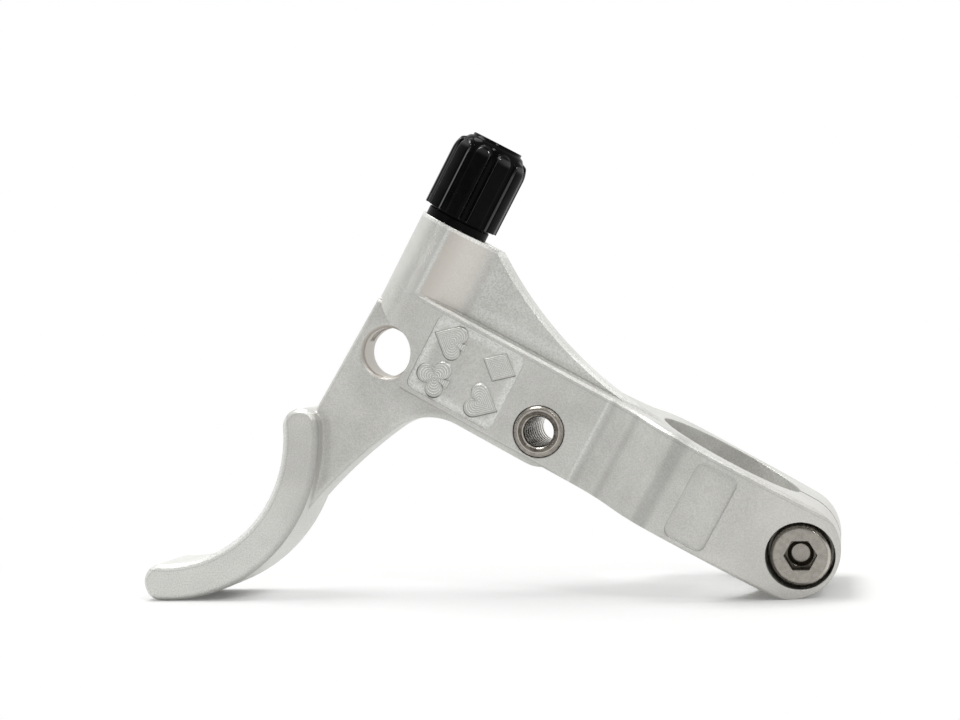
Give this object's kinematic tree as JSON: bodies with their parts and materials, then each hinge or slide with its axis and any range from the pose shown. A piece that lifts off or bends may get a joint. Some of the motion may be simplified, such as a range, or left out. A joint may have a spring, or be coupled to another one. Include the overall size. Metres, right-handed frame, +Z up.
{
  "type": "bicycle brake lever",
  "caption": "Short flat-bar bicycle brake lever in machined aluminium, with a curved finger blade, split bar clamp, hollow pivot and barrel cable adjuster.",
  "frame": {"origin": "middle of the standing lever's box, on the surface it stands on", "axes": "+Z up, +X from the finger hook to the bar clamp, +Y along the pivot, away from the front face"},
  "size_m": [0.1036, 0.029, 0.0683],
  "materials": {
    "blasted_aluminium": "bead-blasted and clear anodised",
    "stainless_steel": "turned, plain",
    "spring_steel": "phosphated",
    "bearing_bronze": "sintered, oiled",
    "black_grip": "glossy moulded",
    "black_ring": "moulded",
    "adjuster_metal": "anodised, rolled thread"
  },
  "bodies": {
    "perch": {"main_body": "blasted_aluminium", "clamp_cap": "blasted_aluminium", "pivot_sleeve": "stainless_steel", "pivot_ring": "spring_steel", "clamp_bolt": "stainless_steel", "clamp_washer": "stainless_steel"},
    "blade": {"lever_blade": "blasted_aluminium", "pivot_bush_front": "bearing_bronze", "pivot_bush_rear": "bearing_bronze"},
    "detent": {"adjuster_detent": "black_ring"},
    "adjuster": {"adjuster_cap": "black_grip", "adjuster_screw": "adjuster_metal"}
  },
  "joints": [
    {"name": "blade_pivot", "type": "hinge", "parent": "perch", "child": "blade", "pos_m": [0.01011, -0.0053, 0.02413], "axis": [0, -1, 0], "range_deg": [0, 28]},
    {"name": "adjuster_slide", "type": "slide", "parent": "perch", "child": "detent", "axis": [0.5011, 0, 0.8654], "range_m": [0, 0.003]},
    {"name": "adjuster_turn", "type": "hinge", "parent": "detent", "child": "adjuster", "pos_m": [0.00031, -0.0053, 0.05869], "axis": [0.5011, 0, 0.8654], "range_deg": [0, 1440]}
  ],
  "couplings": [
    {"joint": "adjuster_turn", "follows": "adjuster_slide", "rad_per_m": 8377.6}
  ]
}
